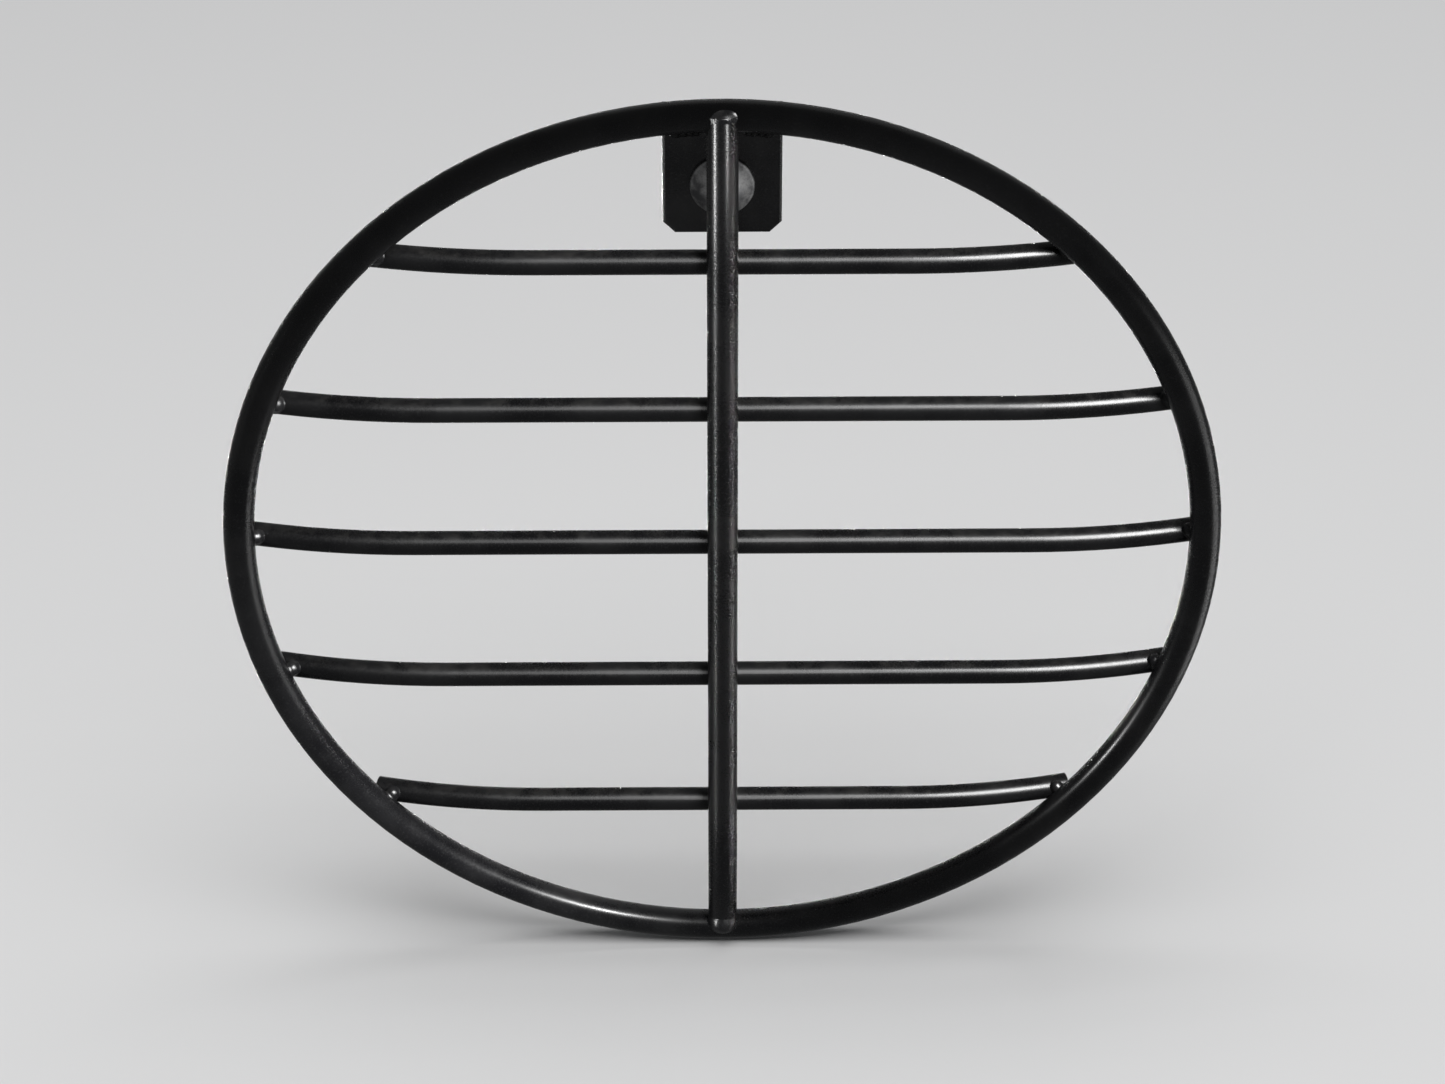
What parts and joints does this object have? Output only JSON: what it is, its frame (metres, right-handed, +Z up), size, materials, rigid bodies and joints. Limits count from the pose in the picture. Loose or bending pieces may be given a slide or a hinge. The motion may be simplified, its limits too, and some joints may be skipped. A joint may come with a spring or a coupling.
{
  "type": "motorcycle headlight guard",
  "caption": "Round grille of welded steel rod that stands before a motorcycle headlight and keeps stones off its lens, hung from a tab with a fixing stud at its top.",
  "frame": {"origin": "on the axis of the mounting stud, at the back face of the tab, where the guard seats on its support", "axes": "+Z up, -Y towards the road ahead, +Y back towards the headlight, along the stud's free shank"},
  "size_m": [0.172, 0.0247, 0.172],
  "materials": {
    "black_powder_coat": "satin black powder coat",
    "satin_steel": "dull zinc plated steel"
  },
  "bodies": {
    "root": {"outer_ring": "black_powder_coat", "top_crossbar": "black_powder_coat", "upper_crossbar": "black_powder_coat", "middle_crossbar": "black_powder_coat", "lower_crossbar": "black_powder_coat", "bottom_crossbar": "black_powder_coat", "center_bar": "black_powder_coat", "mounting_tab": "black_powder_coat", "crossbar_end_welds": "black_powder_coat", "center_bar_welds": "black_powder_coat", "tab_welds": "black_powder_coat", "mounting_stud": "satin_steel"}
  },
  "joints": []
}
